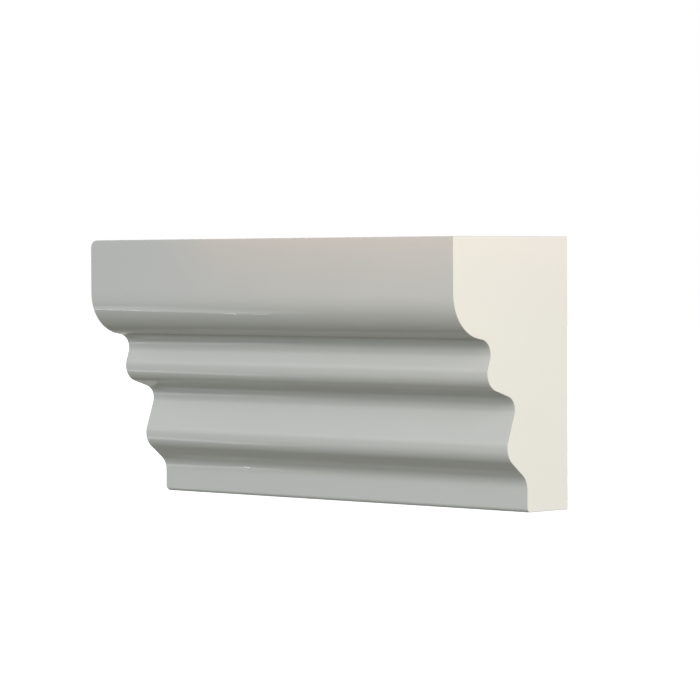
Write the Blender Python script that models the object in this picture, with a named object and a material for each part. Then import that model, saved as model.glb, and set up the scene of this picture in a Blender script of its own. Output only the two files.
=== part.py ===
"""A straight length of decorative applique moulding, cut square at both ends.

+X runs along the length, the profiled face looks towards -Y, the flat back lies in the plane Y = 0
and +Z is up. The origin is the middle of the back face, where the length is fixed to a wall.
"""

import math

import bmesh
import bpy
from mathutils import Vector

# Driving dimensions, in metres

LENGTH = 0.305  # between the two square cuts

# The face comes down from the front top edge in straight runs, each with its own drop. The soffits
# go in towards the wall as they drop, and the beads come out from it.

FASCIA_DROP = 0.055  # the broad flat band at the top
FASCIA_SOFFIT_DROP = 0.006
FASCIA_SOFFIT_IN = 0.0345
UPPER_BEAD_DROP = 0.0245
UPPER_BEAD_OUT = 0.0085
UPPER_SOFFIT_DROP = 0.0095
UPPER_SOFFIT_IN = 0.029
LOWER_BEAD_DROP = 0.031
LOWER_BEAD_OUT = 0.011
LOWER_SOFFIT_DROP = 0.0155
LOWER_SOFFIT_IN = 0.0195
FOOT_DROP = 0.0185  # the narrow flat band at the bottom
FOOT_THICKNESS = 0.0365  # from the back face to the foot band

# Each run turns into the next one through a round

OVOLO_RADIUS = 0.026
UPPER_COVE_RADIUS = 0.0085
UPPER_BEAD_RADIUS = 0.0105
LOWER_COVE_RADIUS = 0.008
LOWER_BEAD_RADIUS = 0.0115
FOOT_COVE_RADIUS = 0.0105

MOST_ROUNDED = 0.98  # share of a run that the rounds at its two ends may take up
ARC_STEP = math.radians(4)  # turn of the face between two points of a round
SMOOTH_BELOW = math.radians(20)  # turns under this are shaded as one smooth surface

# Finish: light grey satin paint, its colour as linear red, green and blue

PAINT_COLOUR = (0.51, 0.52, 0.50)
PAINT_ROUGHNESS = 0.35


class Run:
    """One straight stretch of the face, and the radius of the round at its lower end."""

    def __init__(self, drop, inwards=0.0, radius=0.0):
        self.drop = drop
        self.inwards = inwards
        self.radius = radius


FACE = [
    Run(FASCIA_DROP, radius=OVOLO_RADIUS),
    Run(FASCIA_SOFFIT_DROP, FASCIA_SOFFIT_IN, UPPER_COVE_RADIUS),
    Run(UPPER_BEAD_DROP, -UPPER_BEAD_OUT, UPPER_BEAD_RADIUS),
    Run(UPPER_SOFFIT_DROP, UPPER_SOFFIT_IN, LOWER_COVE_RADIUS),
    Run(LOWER_BEAD_DROP, -LOWER_BEAD_OUT, LOWER_BEAD_RADIUS),
    Run(LOWER_SOFFIT_DROP, LOWER_SOFFIT_IN, FOOT_COVE_RADIUS),
    Run(FOOT_DROP),
]
HEIGHT = sum(run.drop for run in FACE)
PROJECTION = FOOT_THICKNESS + sum(run.inwards for run in FACE)


def reaches_of(directions):
    """How far each round reaches along the runs beside it, drawn in where a run is too short."""
    reaches = [0.0]
    for run, before, after in zip(FACE, directions, directions[1:]):
        reaches.append(run.radius * math.tan(before.angle(after) / 2))
    reaches.append(0.0)
    shares = []
    for direction, above, below in zip(directions, reaches, reaches[1:]):
        shares.append(min(1.0, MOST_ROUNDED * direction.length / (above + below)))
    return [reach * min(pair) for reach, pair in zip(reaches[1:-1], zip(shares, shares[1:]))]


def rounded(corner, before, after, reach):
    """The arc that turns one run into the next, as points from its start to its end."""
    turn = before.angle(after)
    radius = reach / math.tan(turn / 2)
    onward = before.normalized()
    across = Vector((-onward.y, onward.x)) * math.copysign(1, onward.cross(after))
    start = corner - onward * reach
    steps = math.ceil(turn / ARC_STEP)
    points = []
    for step in range(steps + 1):
        angle = turn * step / steps
        points.append(start + radius * (onward * math.sin(angle) + across * (1 - math.cos(angle))))
    return points


def section():
    """The closed cross section as (Y, Z) points, round from the front top edge to the back top edge."""
    directions = [Vector((run.inwards, -run.drop)) for run in FACE]
    corner = Vector((-PROJECTION, HEIGHT / 2))
    outline = [corner]
    for before, after, reach in zip(directions, directions[1:], reaches_of(directions)):
        corner = corner + before
        outline += rounded(corner, before, after, reach)
    outline.append(Vector((-FOOT_THICKNESS, -HEIGHT / 2)))
    outline.append(Vector((0.0, -HEIGHT / 2)))
    outline.append(Vector((0.0, HEIGHT / 2)))
    return outline


def paint():
    material = bpy.data.materials.new("light_grey_paint")
    material.use_nodes = True
    shader = material.node_tree.nodes["Principled BSDF"]
    shader.inputs["Base Color"].default_value = (*PAINT_COLOUR, 1)
    shader.inputs["Roughness"].default_value = PAINT_ROUGHNESS
    shader.inputs["Metallic"].default_value = 0
    return material


def moulding():
    """The whole length as one solid: the section drawn out from one square cut to the other."""
    form = bmesh.new()
    cut = form.faces.new([form.verts.new((-LENGTH / 2, y, z)) for y, z in section()])
    drawn = bmesh.ops.extrude_face_region(form, geom=[cut])["geom"]
    far_end = [part for part in drawn if isinstance(part, bmesh.types.BMVert)]
    bmesh.ops.translate(form, verts=far_end, vec=(LENGTH, 0, 0))
    bmesh.ops.recalc_face_normals(form, faces=form.faces)
    mesh = bpy.data.meshes.new("moulding")
    form.to_mesh(mesh)
    form.free()
    mesh.shade_smooth()
    mesh.set_sharp_from_angle(angle=SMOOTH_BELOW)
    mesh.materials.append(paint())
    piece = bpy.data.objects.new("moulding", mesh)
    bpy.context.collection.objects.link(piece)
    return piece


for old in list(bpy.data.objects):
    bpy.data.objects.remove(old, do_unlink=True)
moulding()
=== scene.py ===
"""The looks of a straight length of decorative applique moulding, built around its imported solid.

The frame is the solid's own: +X along the length, the profiled face to -Y, the flat back in the plane
Y = 0 and +Z up. All sizes are in metres.
"""

import math
from collections import namedtuple

import bmesh
import bpy
from mathutils import Matrix, Quaternion, Vector


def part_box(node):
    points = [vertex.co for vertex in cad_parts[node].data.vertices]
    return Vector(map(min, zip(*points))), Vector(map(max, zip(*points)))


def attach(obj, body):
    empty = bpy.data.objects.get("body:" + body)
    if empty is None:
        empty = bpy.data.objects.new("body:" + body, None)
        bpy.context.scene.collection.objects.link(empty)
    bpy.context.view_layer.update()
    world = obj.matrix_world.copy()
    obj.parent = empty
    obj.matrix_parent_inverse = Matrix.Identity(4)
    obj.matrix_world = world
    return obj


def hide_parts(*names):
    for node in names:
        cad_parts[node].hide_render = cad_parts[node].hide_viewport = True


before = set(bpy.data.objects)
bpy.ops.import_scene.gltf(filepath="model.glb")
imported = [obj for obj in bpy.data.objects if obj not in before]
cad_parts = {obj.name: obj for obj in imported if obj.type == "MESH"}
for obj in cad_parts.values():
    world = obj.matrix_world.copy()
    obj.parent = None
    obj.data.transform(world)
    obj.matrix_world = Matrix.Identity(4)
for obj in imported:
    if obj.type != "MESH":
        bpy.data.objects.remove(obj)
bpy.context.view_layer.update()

bl_info = {
    "name": "Applique Moulding",
    "version": (1, 0, 0),
    "blender": (4, 5, 0),
    "location": "View3D > Sidebar > Moulding",
    "description": "Makes a straight length of painted foam moulding and the plain studio around it",
    "category": "Object",
}

NODE = "moulding"  # the solid that the made piece stands for
BODY = "root"

LOW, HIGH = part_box(NODE)
LENGTH = HIGH.x - LOW.x
PROJECTION = HIGH.y - LOW.y
HEIGHT = HIGH.z - LOW.z
MM = 0.001


# Properties

def length_property(name, description, default):
    return bpy.props.FloatProperty(
        name=name, description=description, default=default, min=0.0, precision=4, unit="LENGTH"
    )


def count_property(name, description, default):
    return bpy.props.IntProperty(name=name, description=description, default=default, min=1)


def share_property(name, description, default):
    return bpy.props.FloatProperty(
        name=name, description=description, default=default, min=0.0, max=1.0, subtype="FACTOR"
    )


def linear(hex_colour):
    """An sRGB hex colour as linear red, green and blue."""
    shares = [int(hex_colour[place:place + 2], 16) / 255 for place in (1, 3, 5)]
    return tuple(s / 12.92 if s <= 0.04045 else ((s + 0.055) / 1.055) ** 2.4 for s in shares)


def colour_property(name, description, hex_colour):
    return bpy.props.FloatVectorProperty(
        name=name, description=description, default=linear(hex_colour), size=3,
        min=0.0, max=1.0, subtype="COLOR",
    )


class MouldingSizes(bpy.types.PropertyGroup):
    """Sizes of the section and of its length. The fascia's height and the foot's thickness are what
    the rest leaves."""

    length: length_property("Length", "Between the two square cuts", LENGTH)
    height: length_property("Height", "From the foot to the top face", HEIGHT)
    projection: length_property("Projection", "From the flat back to the fascia", PROJECTION)
    fascia_soffit_drop: length_property("Fascia Soffit Drop", "How far it falls as it goes in", 0.006)
    fascia_soffit_in: length_property("Fascia Soffit In", "How far it goes in to the wall", 0.0345)
    upper_bead_drop: length_property("Upper Bead Drop", "Height of the upper bead's face", 0.0245)
    upper_bead_out: length_property("Upper Bead Out", "How far the upper bead leans out", 0.0085)
    upper_soffit_drop: length_property("Upper Soffit Drop", "How far it falls as it goes in", 0.0095)
    upper_soffit_in: length_property("Upper Soffit In", "How far it goes in to the wall", 0.029)
    lower_bead_drop: length_property("Lower Bead Drop", "Height of the lower bead's face", 0.031)
    lower_bead_out: length_property("Lower Bead Out", "How far the lower bead leans out", 0.011)
    lower_soffit_drop: length_property("Lower Soffit Drop", "How far it falls as it goes in", 0.0155)
    lower_soffit_in: length_property("Lower Soffit In", "How far it goes in to the wall", 0.0195)
    foot_drop: length_property("Foot Drop", "Height of the narrow band at the bottom", 0.0185)
    ovolo_radius: length_property("Ovolo Radius", "The large round under the fascia", 0.026)
    upper_cove_radius: length_property("Upper Cove Radius", "The hollow under the ovolo", 0.0085)
    upper_bead_radius: length_property("Upper Bead Radius", "The round under the upper bead", 0.0105)
    lower_cove_radius: length_property("Lower Cove Radius", "The hollow under the upper bead", 0.008)
    lower_bead_radius: length_property("Lower Bead Radius", "The round under the lower bead", 0.0115)
    foot_cove_radius: length_property("Foot Cove Radius", "The hollow over the foot", 0.0105)
    fascia_arris: length_property("Fascia Arris", "Round of the top edge of the fascia", 0.5 * MM)
    foot_arris: length_property("Foot Arris", "Round of the bottom edge of the foot", 2.6 * MM)
    back_arris: length_property("Back Arris", "Round of the edges of the flat back", 0.4 * MM)
    sawn_arris: length_property("Sawn Arris", "Round of the edge of the two square cuts", 0.35 * MM)
    worn_top: length_property("Worn Top Corner", "Round of the knocked top corner on the left", 5 * MM)
    worn_foot: length_property("Worn Foot Corner", "Round of the rubbed foot corner", 1.6 * MM)
    unevenness: length_property("Unevenness", "Depth of the slow waves in the cast face", 0.12 * MM)
    wave_length: length_property("Wave Length", "From one slow wave to the next", 55 * MM)
    arc_points: count_property("Arc Points", "Points round each bead, cove and arris", 20)
    rings: count_property("Rings", "Copies of the section from one end to the other", 121)
    point_spacing: length_property("Point Spacing", "Between points along a straight run", 3 * MM)
    seed: count_property("Seed", "Picks the pattern of the slow waves", 4)


class MouldingFinish(bpy.types.PropertyGroup):
    """Colours and gloss of the paint and of the bare foam."""

    paint: colour_property("Paint", "Light grey satin paint on the face", "#B1B3AE")
    paint_roughness: share_property("Paint Roughness", "Of the paint under its clear skin", 0.38)
    skin_gloss: share_property("Skin Gloss", "Strength of the clear skin on the dried paint", 0.6)
    skin_roughness: share_property("Skin Roughness", "Of the clear skin", 0.04)
    sawn: colour_property("Sawn Foam", "Cream rigid foam at the square cuts", "#E9E6D8")
    sawn_roughness: share_property("Sawn Roughness", "Of the sawn foam", 0.55)
    back: colour_property("Foam Back", "Moulded skin of the bare foam on the back", "#E3DCC6")
    back_roughness: share_property("Back Roughness", "Of the bare moulded skin", 0.6)


class MouldingStudio(bpy.types.PropertyGroup):
    """The camera, the floor and the soft light."""

    floor_gap: length_property("Floor Gap", "From the foot down to the floor", 0.25)
    floor_size: length_property("Floor Size", "Side of the square floor", 30.0)
    floor_colour: colour_property("Floor Colour", "White studio paper", "#FFFFFF")
    floor_glow: share_property("Floor Glow", "Light that comes through the paper from behind", 0.35)
    camera_place: bpy.props.FloatVectorProperty(
        name="Camera Place", description="Where the camera stands", size=3,
        default=(1.4197, -1.5082, 0.0634), unit="LENGTH",
    )
    camera_azimuth: bpy.props.FloatProperty(
        name="Camera Azimuth", description="Turn of the view from straight at the face",
        default=math.radians(43.745), unit="ROTATION",
    )
    camera_pitch: bpy.props.FloatProperty(
        name="Camera Pitch", description="How far the camera looks down",
        default=math.radians(1.438), unit="ROTATION",
    )
    camera_roll: bpy.props.FloatProperty(
        name="Camera Roll", description="How far the camera leans to its right",
        default=math.radians(0.25), unit="ROTATION",
    )
    camera_lens: bpy.props.FloatProperty(
        name="Lens", description="Focal length on the 36 mm sensor", default=172.72, unit="CAMERA"
    )
    light_strength: bpy.props.FloatProperty(
        name="Light Strength", description="Brightness of all the soft light together", default=1.0, min=0.0
    )


# Nodes

def add_node(tree, kind, inputs=None, **settings):
    """A new node of that kind. settings are its own properties, and inputs its sockets, by name or
    number: each is a value, or another node's output, which is linked."""
    node = tree.nodes.new(kind)
    for name, value in settings.items():
        setattr(node, name, value)
    for key, value in (inputs or {}).items():
        if isinstance(value, bpy.types.NodeSocket):
            tree.links.new(value, node.inputs[key])
        else:
            node.inputs[key].default_value = value
    return node


def quarter_round(tree, distance, radius):
    """How far a round of that radius has fallen away, at a distance from the edge that it rounds."""
    share = add_node(tree, "ShaderNodeMapRange", {
        "Value": distance, "From Min": 0.0, "From Max": radius, "To Min": 1.0, "To Max": 0.0,
    })
    squared = add_node(tree, "ShaderNodeMath", {0: share.outputs[0], 1: 2.0}, operation="POWER")
    rest = add_node(tree, "ShaderNodeMath", {0: 1.0, 1: squared.outputs[0]}, operation="SUBTRACT")
    root = add_node(tree, "ShaderNodeMath", {0: rest.outputs[0]}, operation="SQRT")
    fallen = add_node(tree, "ShaderNodeMath", {0: 1.0, 1: root.outputs[0]}, operation="SUBTRACT")
    scaled = add_node(tree, "ShaderNodeMath", {0: fallen.outputs[0], 1: radius}, operation="MULTIPLY")
    return scaled.outputs[0]


# The moulding

Run = namedtuple("Run", "drop inwards radius")  # a straight stretch, and the round at its lower end
ROUND = "round"  # attribute: radius of the round at a corner of the section
OUTWARD = "outward"  # attribute: the way that the section faces at a point
WORN_HEIGHT = 20 * MM  # how far down the fascia the knocked corner has an effect
WORN_DEPTH = 25 * MM  # how far back from the fascia it has one
BARE_EDGE = 0.1 * MM  # how far from each cut the saw has taken the paint off
FULL_WAVE = 5 * MM  # how far out from the wall the slow waves have their full depth
ENDWAYS = 0.999  # a facet that faces along the length by more than this is part of a flat cut
WALLWARDS = 0.9  # one that faces the wall by more than this is part of the flat back


def face_runs(sizes):
    """The runs of the face from the fascia down to the foot."""
    below = [
        Run(sizes.fascia_soffit_drop, sizes.fascia_soffit_in, sizes.upper_cove_radius),
        Run(sizes.upper_bead_drop, -sizes.upper_bead_out, sizes.upper_bead_radius),
        Run(sizes.upper_soffit_drop, sizes.upper_soffit_in, sizes.lower_cove_radius),
        Run(sizes.lower_bead_drop, -sizes.lower_bead_out, sizes.lower_bead_radius),
        Run(sizes.lower_soffit_drop, sizes.lower_soffit_in, sizes.foot_cove_radius),
        Run(sizes.foot_drop, 0.0, sizes.foot_arris),
    ]
    fascia_drop = sizes.height - sum(run.drop for run in below)
    return [Run(fascia_drop, 0.0, sizes.ovolo_radius)] + below


def section_skeleton(sizes):
    """The corners of the section as a closed line, X out from the wall and Y down from the middle."""
    out = sizes.projection
    down = -sizes.height / 2
    corners = [(out, down, sizes.fascia_arris)]
    for run in face_runs(sizes):
        out -= run.inwards
        down += run.drop
        corners.append((out, down, run.radius))
    corners.append((0.0, sizes.height / 2, sizes.back_arris))
    corners.append((0.0, -sizes.height / 2, sizes.back_arris))
    skeleton = bpy.data.meshes.new("section_skeleton")
    last = len(corners) - 1
    edges = [(place, place + 1) for place in range(last)] + [(last, 0)]
    skeleton.from_pydata([(out, down, 0.0) for out, down, _ in corners], edges, [])
    rounds = skeleton.attributes.new(ROUND, "FLOAT", "POINT")
    rounds.data.foreach_set("value", [radius for _, _, radius in corners])
    return skeleton


MOULDING_INPUTS = [
    ("Length", "NodeSocketFloat", "length"),
    ("Height", "NodeSocketFloat", "height"),
    ("Projection", "NodeSocketFloat", "projection"),
    ("Sawn Arris", "NodeSocketFloat", "sawn_arris"),
    ("Worn Top Corner", "NodeSocketFloat", "worn_top"),
    ("Worn Foot Corner", "NodeSocketFloat", "worn_foot"),
    ("Unevenness", "NodeSocketFloat", "unevenness"),
    ("Wave Length", "NodeSocketFloat", "wave_length"),
    ("Arc Points", "NodeSocketInt", "arc_points"),
    ("Rings", "NodeSocketInt", "rings"),
    ("Point Spacing", "NodeSocketFloat", "point_spacing"),
    ("Seed", "NodeSocketInt", "seed"),
]


def rounded_section(tree, given):
    """The section's skeleton as a line with its beads and coves rounded and its runs divided."""
    bent = add_node(tree, "GeometryNodeMeshToCurve", {"Mesh": given.outputs["Skeleton"]})
    radius = add_node(tree, "GeometryNodeInputNamedAttribute", {"Name": ROUND}, data_type="FLOAT")
    filleted = add_node(tree, "GeometryNodeFilletCurve", {
        "Curve": bent.outputs[0], "Count": given.outputs["Arc Points"],
        "Radius": radius.outputs["Attribute"], "Limit Radius": True,
    }, mode="POLY")
    here = add_node(tree, "GeometryNodeInputPosition")
    onward = add_node(tree, "GeometryNodeOffsetPointInCurve", {"Offset": 1})
    there = add_node(tree, "GeometryNodeFieldAtIndex", {
        "Value": here.outputs[0], "Index": onward.outputs["Point Index"],
    }, data_type="FLOAT_VECTOR", domain="POINT")
    gap = add_node(tree, "ShaderNodeVectorMath", {
        0: here.outputs[0], 1: there.outputs[0],
    }, operation="DISTANCE")
    shares = add_node(tree, "ShaderNodeMath", {
        0: gap.outputs["Value"], 1: given.outputs["Point Spacing"],
    }, operation="DIVIDE")
    cuts = add_node(tree, "ShaderNodeMath", {0: shares.outputs[0]}, operation="FLOOR")
    divided = add_node(tree, "GeometryNodeSubdivideCurve", {
        "Curve": filleted.outputs[0], "Cuts": cuts.outputs[0],
    })
    along = add_node(tree, "GeometryNodeInputTangent")
    parts = add_node(tree, "ShaderNodeSeparateXYZ", {0: along.outputs[0]})
    back = add_node(tree, "ShaderNodeMath", {0: parts.outputs["Y"], 1: -1.0}, operation="MULTIPLY")
    facing = add_node(tree, "ShaderNodeCombineXYZ", {"Y": back.outputs[0], "Z": parts.outputs["X"]})
    return add_node(tree, "GeometryNodeStoreNamedAttribute", {
        "Geometry": divided.outputs[0], "Name": OUTWARD, "Value": facing.outputs[0],
    }, data_type="FLOAT_VECTOR", domain="POINT").outputs[0]


def ring_line(tree, given, half):
    """A line along the length, with its points close together near the two cuts."""
    start = add_node(tree, "ShaderNodeVectorMath", {0: (-1.0, 0.0, 0.0), "Scale": half}, operation="SCALE")
    end = add_node(tree, "ShaderNodeVectorMath", {0: (1.0, 0.0, 0.0), "Scale": half}, operation="SCALE")
    line = add_node(tree, "GeometryNodeCurvePrimitiveLine", {
        "Start": start.outputs[0], "End": end.outputs[0],
    })
    points = add_node(tree, "GeometryNodeResampleCurve", {
        "Curve": line.outputs[0], "Count": given.outputs["Rings"],
    })
    place = add_node(tree, "GeometryNodeInputPosition")
    along = add_node(tree, "ShaderNodeSeparateXYZ", {0: place.outputs[0]})
    share = add_node(tree, "ShaderNodeMath", {0: along.outputs["X"], 1: half}, operation="DIVIDE")
    angle = add_node(tree, "ShaderNodeMath", {0: share.outputs[0], 1: math.pi / 2}, operation="MULTIPLY")
    sine = add_node(tree, "ShaderNodeMath", {0: angle.outputs[0]}, operation="SINE")
    moved = add_node(tree, "ShaderNodeMath", {0: sine.outputs[0], 1: half}, operation="MULTIPLY")
    target = add_node(tree, "ShaderNodeCombineXYZ", {"X": moved.outputs[0]})
    return add_node(tree, "GeometryNodeSetPosition", {
        "Geometry": points.outputs[0], "Position": target.outputs[0],
    }).outputs[0]


def drawn_in(tree, given, geometry, half):
    """The swept face, drawn in at the arris of each cut and by the slow waves of the casting."""
    place = add_node(tree, "GeometryNodeInputPosition")
    parts = add_node(tree, "ShaderNodeSeparateXYZ", {0: place.outputs[0]})
    reach = add_node(tree, "ShaderNodeMath", {0: parts.outputs["X"]}, operation="ABSOLUTE")
    from_cut = add_node(tree, "ShaderNodeMath", {0: half, 1: reach.outputs[0]}, operation="SUBTRACT")
    arris = quarter_round(tree, from_cut.outputs[0], given.outputs["Sawn Arris"])
    frequency = add_node(tree, "ShaderNodeMath", {
        0: 1.0, 1: given.outputs["Wave Length"],
    }, operation="DIVIDE")
    waves = add_node(tree, "ShaderNodeTexNoise", {
        "Vector": place.outputs[0], "W": given.outputs["Seed"], "Scale": frequency.outputs[0],
        "Detail": 1.0,
    }, noise_dimensions="4D")
    off_wall = add_node(tree, "ShaderNodeMath", {0: parts.outputs["Y"], 1: -1.0}, operation="MULTIPLY")
    on_face = add_node(tree, "ShaderNodeMapRange", {
        "Value": off_wall.outputs[0], "From Min": 0.0, "From Max": FULL_WAVE,
    })
    wave = add_node(tree, "ShaderNodeMath", {
        0: waves.outputs["Fac"], 1: on_face.outputs[0],
    }, operation="MULTIPLY")
    depth = add_node(tree, "ShaderNodeMath", {
        0: wave.outputs[0], 1: given.outputs["Unevenness"],
    }, operation="MULTIPLY")
    inwards = add_node(tree, "ShaderNodeMath", {0: arris, 1: depth.outputs[0]}, operation="ADD")
    back = add_node(tree, "ShaderNodeMath", {0: inwards.outputs[0], 1: -1.0}, operation="MULTIPLY")
    facing = add_node(tree, "GeometryNodeInputNamedAttribute", {"Name": OUTWARD}, data_type="FLOAT_VECTOR")
    offset = add_node(tree, "ShaderNodeVectorMath", {
        0: facing.outputs["Attribute"], "Scale": back.outputs[0],
    }, operation="SCALE")
    return add_node(tree, "GeometryNodeSetPosition", {
        "Geometry": geometry, "Offset": offset.outputs[0],
    }).outputs[0]


def worn_corner(tree, given, geometry, half, side, radius):
    """The left end with its front corner rubbed round, at the top where side is 1 or the foot at -1."""
    place = add_node(tree, "GeometryNodeInputPosition")
    parts = add_node(tree, "ShaderNodeSeparateXYZ", {0: place.outputs[0]})
    from_cut = add_node(tree, "ShaderNodeMath", {0: parts.outputs["X"], 1: half}, operation="ADD")
    fallen = quarter_round(tree, from_cut.outputs[0], radius)
    edge = add_node(tree, "ShaderNodeMath", {
        0: given.outputs["Height"], 1: 0.5 * side,
    }, operation="MULTIPLY")
    start = add_node(tree, "ShaderNodeMath", {
        0: edge.outputs[0], 1: side * WORN_HEIGHT,
    }, operation="SUBTRACT")
    near_edge = add_node(tree, "ShaderNodeMapRange", {
        "Value": parts.outputs["Z"], "From Min": start.outputs[0], "From Max": edge.outputs[0],
    }, interpolation_type="SMOOTHSTEP")
    front = add_node(tree, "ShaderNodeMath", {
        0: given.outputs["Projection"], 1: -1.0,
    }, operation="MULTIPLY")
    behind = add_node(tree, "ShaderNodeMath", {0: front.outputs[0], 1: WORN_DEPTH}, operation="ADD")
    near_front = add_node(tree, "ShaderNodeMapRange", {
        "Value": parts.outputs["Y"], "From Min": behind.outputs[0], "From Max": front.outputs[0],
    }, interpolation_type="SMOOTHSTEP")
    share = near_edge.outputs[0]
    if side > 0:
        both = add_node(tree, "ShaderNodeMath", {0: share, 1: near_front.outputs[0]}, operation="MULTIPLY")
        share = both.outputs[0]
    drop = add_node(tree, "ShaderNodeMath", {0: fallen, 1: share}, operation="MULTIPLY")
    signed = add_node(tree, "ShaderNodeMath", {0: drop.outputs[0], 1: -side}, operation="MULTIPLY")
    offset = add_node(tree, "ShaderNodeCombineXYZ", {"Z": signed.outputs[0]})
    return add_node(tree, "GeometryNodeSetPosition", {
        "Geometry": geometry, "Offset": offset.outputs[0],
    }).outputs[0]


def moulding_tree(paint, sawn, back):
    """Geometry nodes that round the section's skeleton, sweep it along the length and finish it."""
    tree = bpy.data.node_groups.new("straight_moulding", "GeometryNodeTree")
    tree.interface.new_socket("Skeleton", in_out="INPUT", socket_type="NodeSocketGeometry")
    for name, kind, _ in MOULDING_INPUTS:
        tree.interface.new_socket(name, in_out="INPUT", socket_type=kind)
    tree.interface.new_socket("Moulding", in_out="OUTPUT", socket_type="NodeSocketGeometry")
    given = add_node(tree, "NodeGroupInput")
    halved = add_node(tree, "ShaderNodeMath", {0: given.outputs["Length"], 1: 0.5}, operation="MULTIPLY")
    half = halved.outputs[0]
    swept = add_node(tree, "GeometryNodeCurveToMesh", {
        "Curve": ring_line(tree, given, half), "Profile Curve": rounded_section(tree, given),
        "Fill Caps": True,
    })
    shape = drawn_in(tree, given, swept.outputs[0], half)
    shape = worn_corner(tree, given, shape, half, 1, given.outputs["Worn Top Corner"])
    shape = worn_corner(tree, given, shape, half, -1, given.outputs["Worn Foot Corner"])
    normal = add_node(tree, "GeometryNodeInputNormal")
    parts = add_node(tree, "ShaderNodeSeparateXYZ", {0: normal.outputs["True Normal"]})
    endways = add_node(tree, "ShaderNodeMath", {0: parts.outputs["X"]}, operation="ABSOLUTE")
    flat = add_node(tree, "FunctionNodeCompare", {
        0: endways.outputs[0], 1: ENDWAYS,
    }, operation="GREATER_THAN")
    place = add_node(tree, "GeometryNodeInputPosition")
    along = add_node(tree, "ShaderNodeSeparateXYZ", {0: place.outputs[0]})
    reach = add_node(tree, "ShaderNodeMath", {0: along.outputs["X"]}, operation="ABSOLUTE")
    cut = add_node(tree, "ShaderNodeMath", {0: half, 1: BARE_EDGE}, operation="SUBTRACT")
    is_sawn = add_node(tree, "FunctionNodeCompare", {
        0: reach.outputs[0], 1: cut.outputs[0],
    }, operation="GREATER_THAN")
    is_back = add_node(tree, "FunctionNodeCompare", {
        0: parts.outputs["Y"], 1: WALLWARDS,
    }, operation="GREATER_THAN")
    smooth = add_node(tree, "GeometryNodeSetShadeSmooth", {"Geometry": shape, "Shade Smooth": True})
    shaded = add_node(tree, "GeometryNodeSetShadeSmooth", {
        "Geometry": smooth.outputs[0], "Selection": flat.outputs[0], "Shade Smooth": False,
    })
    real = add_node(tree, "GeometryNodeRealizeInstances", {"Geometry": shaded.outputs[0]})
    shape = real.outputs[0]
    for material, chosen in ((paint, True), (sawn, is_sawn.outputs[0]), (back, is_back.outputs[0])):
        shape = add_node(tree, "GeometryNodeSetMaterial", {
            "Geometry": shape, "Selection": chosen, "Material": material,
        }).outputs[0]
    add_node(tree, "NodeGroupOutput", {"Moulding": shape})
    return tree


def check_closed(mesh):
    """Raises an error unless the mesh is one closed body with its faces pointing out."""
    form = bmesh.new()
    form.from_mesh(mesh)
    open_edges = sum(1 for edge in form.edges if not edge.is_manifold)
    volume = form.calc_volume(signed=True)
    form.free()
    if open_edges or volume <= 0:
        raise RuntimeError(f"{mesh.name} has {open_edges} open edges and a volume of {volume:g}")


# Materials

GLOSS_SPREAD = 0.04  # how far the paint's roughness strays to each side, by the dust in it
SKIN_IOR = 1.55  # of the clear skin on the paint
FOAM_IOR = 1.45  # of polyurethane foam, sawn or moulded
MIST_SHIFT = 12 * MM  # how far the noise moves the ragged edge of the mist of paint on the back
MIST_FROM = -1 * MM  # where the mist starts, out past the edge of the back, with the noise added
MIST_FULL = 7 * MM  # where it hides the foam, in the same way


def new_material(name):
    """A material with its shader, and the object coordinates that its patterns read."""
    material = bpy.data.materials.new(name)
    material.use_nodes = True
    tree = material.node_tree
    place = add_node(tree, "ShaderNodeTexCoord").outputs["Object"]
    return material, tree, tree.nodes["Principled BSDF"], place


def shade(colour, share):
    """The same colour made lighter or darker by that share, with the alpha that a socket needs."""
    return (*[min(1.0, channel * share) for channel in colour], 1.0)


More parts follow.
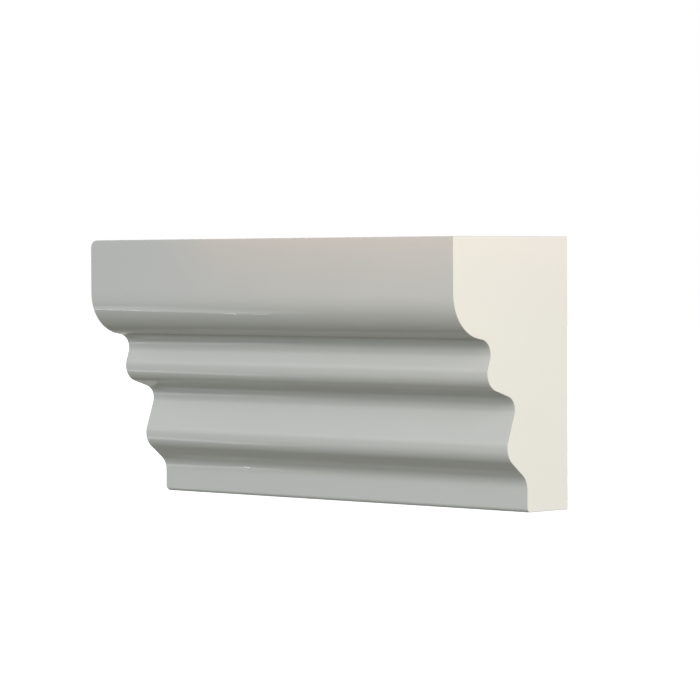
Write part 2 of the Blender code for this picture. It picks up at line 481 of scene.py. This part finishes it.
def satin_grey_paint(finish):
    """Sprayed acrylic satin paint. It gives soft, slightly uneven bands of light along the coves, and
    a clear skin that shows thin bright lines where the face turns."""
    material, tree, shader, place = new_material("satin_acrylic_paint_sprayed")
    # The coat is a little lighter and darker in patches of 35 mm, and duller and glossier in ones of 6 mm
    cloud = add_node(tree, "ShaderNodeTexNoise", {"Vector": place, "Scale": 1 / (35 * MM), "Detail": 2.0})
    tone = add_node(tree, "ShaderNodeMix", {
        0: cloud.outputs["Fac"], 6: shade(finish.paint, 0.98), 7: shade(finish.paint, 1.02),
    }, data_type="RGBA")
    tree.links.new(tone.outputs[2], shader.inputs["Base Color"])
    dust = add_node(tree, "ShaderNodeTexNoise", {"Vector": place, "Scale": 1 / (6 * MM), "Detail": 3.0})
    gloss = add_node(tree, "ShaderNodeMapRange", {
        "Value": dust.outputs["Fac"], "To Min": finish.paint_roughness - GLOSS_SPREAD,
        "To Max": finish.paint_roughness + GLOSS_SPREAD,
    })
    tree.links.new(gloss.outputs[0], shader.inputs["Roughness"])
    # The peel of a sprayed coat has cells of about 1.5 mm and is some thousandths of a millimetre deep
    peel = add_node(tree, "ShaderNodeTexNoise", {"Vector": place, "Scale": 1 / (1.5 * MM), "Detail": 1.0})
    fine = add_node(tree, "ShaderNodeBump", {
        "Height": peel.outputs["Fac"], "Distance": 0.006 * MM, "Strength": 0.5,
    })
    # Streaks left by the long mould, 3 mm apart and 15 mm long, break the line of light into dashes
    drawn = add_node(tree, "ShaderNodeMapping", {"Vector": place, "Scale": (0.2, 1.0, 1.0)})
    streaks = add_node(tree, "ShaderNodeTexNoise", {
        "Vector": drawn.outputs[0], "Scale": 1 / (3 * MM), "Detail": 1.0,
    })
    bump = add_node(tree, "ShaderNodeBump", {
        "Height": streaks.outputs["Fac"], "Distance": 0.045 * MM, "Strength": 1.0,
        "Normal": fine.outputs[0],
    })
    tree.links.new(bump.outputs[0], shader.inputs["Normal"])
    shader.inputs["Specular IOR Level"].default_value = 0.0  # all the gloss is in the skin
    shader.inputs["Coat Weight"].default_value = finish.skin_gloss
    shader.inputs["Coat Roughness"].default_value = finish.skin_roughness
    shader.inputs["Coat IOR"].default_value = SKIN_IOR
    return material


def sawn_foam(finish):
    """Rigid polyurethane foam cut with a fine saw. It gives a matt cream face with faint saw lines
    and the fine pores of the foam, each with a little painted shade in its hollow."""
    material, tree, shader, place = new_material("rigid_polyurethane_foam_sawn")
    # Cells of dense foam are about 0.2 mm wide, which is too fine to show, so they are drawn at 0.6 mm
    cells = add_node(tree, "ShaderNodeTexVoronoi", {"Vector": place, "Scale": 1 / (0.6 * MM)})
    # The tone of the foam drifts in patches of 28 mm
    cloud = add_node(tree, "ShaderNodeTexNoise", {"Vector": place, "Scale": 1 / (28 * MM), "Detail": 3.0})
    tone = add_node(tree, "ShaderNodeMix", {
        0: cloud.outputs["Fac"], 6: shade(finish.sawn, 0.985), 7: shade(finish.sawn, 1.01),
    }, data_type="RGBA")
    # Painted shade: the middle of each pore is made up to 3 % darker, as shade in its hollow would be
    painted_pore_shade = add_node(tree, "ShaderNodeMapRange", {
        "Value": cells.outputs["Distance"], "From Min": 0.0, "From Max": 0.35,
        "To Min": 0.97, "To Max": 1.0,
    })
    pore_shaded_tone = add_node(tree, "ShaderNodeMix", {
        0: 1.0, 6: tone.outputs[2], 7: painted_pore_shade.outputs[0],
    }, data_type="RGBA", blend_type="MULTIPLY")
    tree.links.new(pore_shaded_tone.outputs[2], shader.inputs["Base Color"])
    # A fine blade leaves lines about 0.4 mm apart, drawn at 1.2 mm so that they show
    stretch = add_node(tree, "ShaderNodeMapping", {"Vector": place, "Scale": (1.0, 1.0, 0.03)})
    lines = add_node(tree, "ShaderNodeTexNoise", {
        "Vector": stretch.outputs[0], "Scale": 1 / (1.2 * MM), "Detail": 2.0,
    })
    relief = add_node(tree, "ShaderNodeMath", {
        0: lines.outputs["Fac"], 1: cells.outputs["Distance"],
    }, operation="ADD")
    bump = add_node(tree, "ShaderNodeBump", {
        "Height": relief.outputs[0], "Distance": 0.03 * MM, "Strength": 0.5,
    })
    tree.links.new(bump.outputs[0], shader.inputs["Normal"])
    shader.inputs["Roughness"].default_value = finish.sawn_roughness
    shader.inputs["IOR"].default_value = FOAM_IOR
    return material


def moulded_foam_back(finish, sizes):
    """The bare skin of the casting on the side that goes to the wall. It gives a dull cream face with
    shallow pits, and a mist of the grey paint along its top and bottom edges."""
    material, tree, shader, place = new_material("rigid_polyurethane_foam_moulded")
    # The skin is blotchy in patches of 18 mm, the mist is ragged at 9 mm and the pits are 4 mm apart
    cloud = add_node(tree, "ShaderNodeTexNoise", {"Vector": place, "Scale": 1 / (18 * MM), "Detail": 4.0})
    tone = add_node(tree, "ShaderNodeMix", {
        0: cloud.outputs["Fac"], 6: shade(finish.back, 0.92), 7: shade(finish.back, 1.05),
    }, data_type="RGBA")
    parts = add_node(tree, "ShaderNodeSeparateXYZ", {0: place})
    height = add_node(tree, "ShaderNodeMath", {0: parts.outputs["Z"]}, operation="ABSOLUTE")
    ragged = add_node(tree, "ShaderNodeTexNoise", {"Vector": place, "Scale": 1 / (9 * MM), "Detail": 5.0})
    shifted = add_node(tree, "ShaderNodeMath", {
        0: ragged.outputs["Fac"], 1: MIST_SHIFT, 2: height.outputs[0],
    }, operation="MULTIPLY_ADD")
    mist = add_node(tree, "ShaderNodeMapRange", {
        "Value": shifted.outputs[0], "From Min": sizes.height / 2 + MIST_FROM,
        "From Max": sizes.height / 2 + MIST_FULL,
    }, interpolation_type="SMOOTHSTEP")
    misted = add_node(tree, "ShaderNodeMix", {
        0: mist.outputs[0], 6: tone.outputs[2], 7: shade(finish.paint, 1.0),
    }, data_type="RGBA")
    tree.links.new(misted.outputs[2], shader.inputs["Base Color"])
    pits = add_node(tree, "ShaderNodeTexVoronoi", {"Vector": place, "Scale": 1 / (4 * MM)})
    pit = add_node(tree, "ShaderNodeMapRange", {
        "Value": pits.outputs["Distance"], "From Min": 0.0, "From Max": 0.25,
    })
    relief = add_node(tree, "ShaderNodeMath", {
        0: pit.outputs[0], 1: ragged.outputs["Fac"],
    }, operation="ADD")
    bump = add_node(tree, "ShaderNodeBump", {
        "Height": relief.outputs[0], "Distance": 0.15 * MM, "Strength": 0.6,
    })
    tree.links.new(bump.outputs[0], shader.inputs["Normal"])
    shader.inputs["Roughness"].default_value = finish.back_roughness
    shader.inputs["IOR"].default_value = FOAM_IOR
    return material


def studio_paper(studio):
    """Matt white background paper, lit up from behind. It gives a plain pale floor that runs on into
    the white behind it."""
    material, _, shader, _ = new_material("background_paper_matt")
    shader.inputs["Base Color"].default_value = (*studio.floor_colour, 1.0)
    shader.inputs["Roughness"].default_value = 0.9
    shader.inputs["Emission Color"].default_value = (*studio.floor_colour, 1.0)
    shader.inputs["Emission Strength"].default_value = studio.floor_glow
    return material


# Light

SENSOR_WIDTH = 36.0  # mm

Band = namedtuple("Band", "height brightness tint")  # height in degrees above the level
DOME = (
    Band(-90, 0.32, "#FFF8A0"),  # warm light off the floor below
    Band(-50, 0.0, "#FFFFFF"),  # the floor that the piece hides from the lights
    Band(-41, 0.055, "#FFFFF5"),
    Band(-35, 0.21, "#FFF1E2"),  # the lit floor in front of it
    Band(-29, 0.52, "#FFF9DD"),
    Band(-14, 0.97, "#F8FBFF"),
    Band(0, 0.94, "#E7EEFF"),
    Band(10, 1.93, "#FFFEFC"),
    Band(20, 2.48, "#FFFFFF"),  # the soft light all round
    Band(35, 1.16, "#DFE9FF"),
    Band(50, 0.0, "#FFFFFF"),
    Band(90, 0.5, "#FFFFFF"),
)

# A lamp lights up the matt colour of the piece or its gloss, so that each is set on its own
Lamp = namedtuple("Lamp", "name centre ahead along length width brightness tint lights_up fades")
LAMPS = (
    # The soft lamp in front of the right end, from which the tones fall off to the left and down
    Lamp("front_lamp", (0.3, -0.4, 0.25), (-0.17, 0.32, -0.21), (0.0, 0.0, 1.0), 0.2, 0.2,
         3.5, "#FFECDA", "matt", False),
    # Two small lamps that only tint the top of the fascia and of the sawn end
    Lamp("ember_lamp", (0.06, -0.125, 0.105), (0.0, 0.7, -0.7), (1.0, 0.0, 0.0), 0.24, 0.01,
         2.4, "#FFAD6F", "matt", False),
    Lamp("rose_lamp", (0.2, -0.015, 0.12), (-0.7, 0.0, -0.7), (0.0, 1.0, 0.0), 0.12, 0.01,
         1.3, "#FF88B8", "matt", False),
    # The bright upright edge of a card far to the left, seen only as a thin line along the ovolo. It is
    # in lengths, one above the other, because the line is broken too
    Lamp("edge_top", (-0.946, -0.587, -0.53), (0.862, 0.507, 0.0), (0.0, 0.0, 1.0), 0.1, 0.005,
         12.0, "#FFFFFF", "gloss", False),
    Lamp("edge_middle", (-0.946, -0.587, -0.717), (0.862, 0.507, 0.0), (0.0, 0.0, 1.0), 0.036, 0.005,
         28.0, "#FFFFFF", "gloss", False),
    Lamp("edge_bottom", (-0.946, -0.587, -0.76), (0.862, 0.507, 0.0), (0.0, 0.0, 1.0), 0.024, 0.005,
         17.0, "#FFFFFF", "gloss", False),
    # The card itself, which fades away to the right
    Lamp("white_card", (-0.898, -0.657, -0.545), (0.825, 0.565, 0.0), (0.0, 0.0, 1.0), 0.33, 0.17,
         2.7, "#F1F6FF", "gloss", True),
)


# Operators

class MOULDING_OT_length(bpy.types.Operator):
    """Make the painted length of moulding, with its sawn ends and its bare back"""

    bl_idname = "moulding.length"
    bl_label = "Make the Moulding"

    def execute(self, context):
        sizes = context.scene.moulding_sizes
        finish = context.scene.moulding_finish
        tree = moulding_tree(
            satin_grey_paint(finish), sawn_foam(finish), moulded_foam_back(finish, sizes)
        )
        piece = bpy.data.objects.new("painted_moulding", section_skeleton(sizes))
        context.scene.collection.objects.link(piece)
        nodes = piece.modifiers.new("Straight moulding", "NODES")
        nodes.node_group = tree
        for socket in tree.interface.items_tree:
            for name, _, size in MOULDING_INPUTS:
                if socket.in_out == "INPUT" and socket.name == name:
                    nodes[socket.identifier] = getattr(sizes, size)
        made = piece.evaluated_get(context.evaluated_depsgraph_get())
        mesh = bpy.data.meshes.new_from_object(made)
        mesh.name = "painted_moulding"
        piece.modifiers.remove(nodes)
        piece.data = mesh
        check_closed(mesh)
        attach(piece, BODY)
        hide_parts(NODE)
        return {"FINISHED"}


class MOULDING_OT_studio(bpy.types.Operator):
    """Set out the pale floor, the soft light and the camera"""

    bl_idname = "moulding.studio"
    bl_label = "Set Out the Studio"

    def execute(self, context):
        sizes = context.scene.moulding_sizes
        studio = context.scene.moulding_studio
        self.lay_floor(context, studio, sizes)
        self.light_dome(context, studio)
        for lamp in LAMPS:
            self.hang_lamp(context, studio, lamp)
        self.place_camera(context, studio)
        context.scene.view_settings.view_transform = "Standard"
        return {"FINISHED"}

    def lay_floor(self, context, studio, sizes):
        half = studio.floor_size / 2
        level = -sizes.height / 2 - studio.floor_gap
        mesh = bpy.data.meshes.new("floor")
        corners = [(-half, -half, level), (half, -half, level), (half, half, level), (-half, half, level)]
        mesh.from_pydata(corners, [], [(0, 1, 2, 3)])
        mesh.materials.append(studio_paper(studio))
        floor = bpy.data.objects.new("floor", mesh)
        floor.visible_diffuse = False
        floor.visible_glossy = False
        floor.visible_shadow = False  # so that the light of the dome's lower half passes it
        context.scene.collection.objects.link(floor)

    def light_dome(self, context, studio):
        world = bpy.data.worlds.new("soft_studio_light")
        world.use_nodes = True
        tree = world.node_tree
        way = add_node(tree, "ShaderNodeTexCoord")
        parts = add_node(tree, "ShaderNodeSeparateXYZ", {0: way.outputs["Generated"]})
        angle = add_node(tree, "ShaderNodeMath", {0: parts.outputs["Z"]}, operation="ARCSINE")
        share = add_node(tree, "ShaderNodeMapRange", {
            "Value": angle.outputs[0], "From Min": -math.pi / 2, "From Max": math.pi / 2,
        })
        ramp = add_node(tree, "ShaderNodeValToRGB", {0: share.outputs[0]})
        brightest = max(band.brightness for band in DOME)
        stops = ramp.color_ramp.elements
        while len(stops) < len(DOME):
            stops.new(0.5)
        for stop, band in zip(stops, DOME):
            stop.position = 0.5 + band.height / 180  # from straight down at 0 to straight up at 1
            stop.color = shade(linear(band.tint), band.brightness / brightest)
        dome = tree.nodes["Background"]
        dome.inputs["Strength"].default_value = brightest * studio.light_strength
        tree.links.new(ramp.outputs[0], dome.inputs["Color"])
        # The camera sees plain white behind the piece, and the dome only lights it
        backdrop = add_node(tree, "ShaderNodeBackground", {"Color": (1.0, 1.0, 1.0, 1.0), "Strength": 1.0})
        ray = add_node(tree, "ShaderNodeLightPath")
        shown = add_node(tree, "ShaderNodeMixShader", {
            0: ray.outputs["Is Camera Ray"], 1: dome.outputs[0], 2: backdrop.outputs[0],
        })
        tree.links.new(shown.outputs[0], tree.nodes["World Output"].inputs["Surface"])
        context.scene.world = world

    def hang_lamp(self, context, studio, lamp):
        light = bpy.data.lights.new(lamp.name, "AREA")
        light.shape = "RECTANGLE"
        light.size = lamp.length
        light.size_y = lamp.width
        light.color = linear(lamp.tint)
        # The power goes by the area, so that a lamp of another size stays as bright to look at
        light.energy = lamp.brightness * studio.light_strength * math.pi * lamp.length * lamp.width
        if lamp.fades:
            self.fade_across(light)
        hung = bpy.data.objects.new(lamp.name, light)
        behind = -Vector(lamp.ahead).normalized()
        across = behind.cross(Vector(lamp.along)).normalized()
        turned = Matrix((across.cross(behind), across, behind)).transposed()
        hung.rotation_euler = turned.to_euler()
        hung.location = lamp.centre
        hung.visible_camera = False
        hung.visible_diffuse = lamp.lights_up == "matt"
        hung.visible_glossy = lamp.lights_up == "gloss"
        context.scene.collection.objects.link(hung)

    def fade_across(self, light):
        """Full brightness at one long side of the light, falling to none at the other."""
        light.use_nodes = True
        tree = light.node_tree
        place = add_node(tree, "ShaderNodeNewGeometry")
        parts = add_node(tree, "ShaderNodeSeparateXYZ", {0: place.outputs["Parametric"]})
        share = add_node(tree, "ShaderNodeMapRange", {
            "Value": parts.outputs["Y"],
        }, interpolation_type="SMOOTHSTEP")
        tree.links.new(share.outputs[0], tree.nodes["Emission"].inputs["Strength"])

    def place_camera(self, context, studio):
        view = bpy.data.cameras.new("camera")
        view.lens = studio.camera_lens
        view.sensor_width = SENSOR_WIDTH
        camera = bpy.data.objects.new("camera", view)
        turn = studio.camera_azimuth
        pitch = studio.camera_pitch
        ahead = Vector((
            -math.sin(turn) * math.cos(pitch), math.cos(turn) * math.cos(pitch), -math.sin(pitch),
        ))
        lean = Quaternion((0.0, 0.0, 1.0), -studio.camera_roll)
        camera.rotation_euler = (ahead.to_track_quat("-Z", "Y") @ lean).to_euler()
        camera.location = studio.camera_place
        context.scene.collection.objects.link(camera)
        context.scene.camera = camera


class MOULDING_PT_panel(bpy.types.Panel):
    """Lists the sizes, the finish, the studio and the two operators"""

    bl_idname = "MOULDING_PT_panel"
    bl_label = "Applique Moulding"
    bl_space_type = "VIEW_3D"
    bl_region_type = "UI"
    bl_category = "Moulding"

    def draw(self, context):
        for heading, group, operator in (
            ("Sizes", context.scene.moulding_sizes, None),
            ("Finish", context.scene.moulding_finish, MOULDING_OT_length),
            ("Studio", context.scene.moulding_studio, MOULDING_OT_studio),
        ):
            box = self.layout.box()
            box.label(text=heading)
            for name in group.__annotations__:
                box.prop(group, name)
            if operator:
                box.operator(operator.bl_idname)


CLASSES = (
    MouldingSizes, MouldingFinish, MouldingStudio,
    MOULDING_OT_length, MOULDING_OT_studio, MOULDING_PT_panel,
)


def register():
    for each in CLASSES:
        bpy.utils.register_class(each)
    bpy.types.Scene.moulding_sizes = bpy.props.PointerProperty(type=MouldingSizes)
    bpy.types.Scene.moulding_finish = bpy.props.PointerProperty(type=MouldingFinish)
    bpy.types.Scene.moulding_studio = bpy.props.PointerProperty(type=MouldingStudio)


def unregister():
    del bpy.types.Scene.moulding_studio
    del bpy.types.Scene.moulding_finish
    del bpy.types.Scene.moulding_sizes
    for each in reversed(CLASSES):
        bpy.utils.unregister_class(each)


def main():
    register()
    bpy.ops.moulding.length()
    bpy.ops.moulding.studio()


if __name__ == "__main__":
    main()
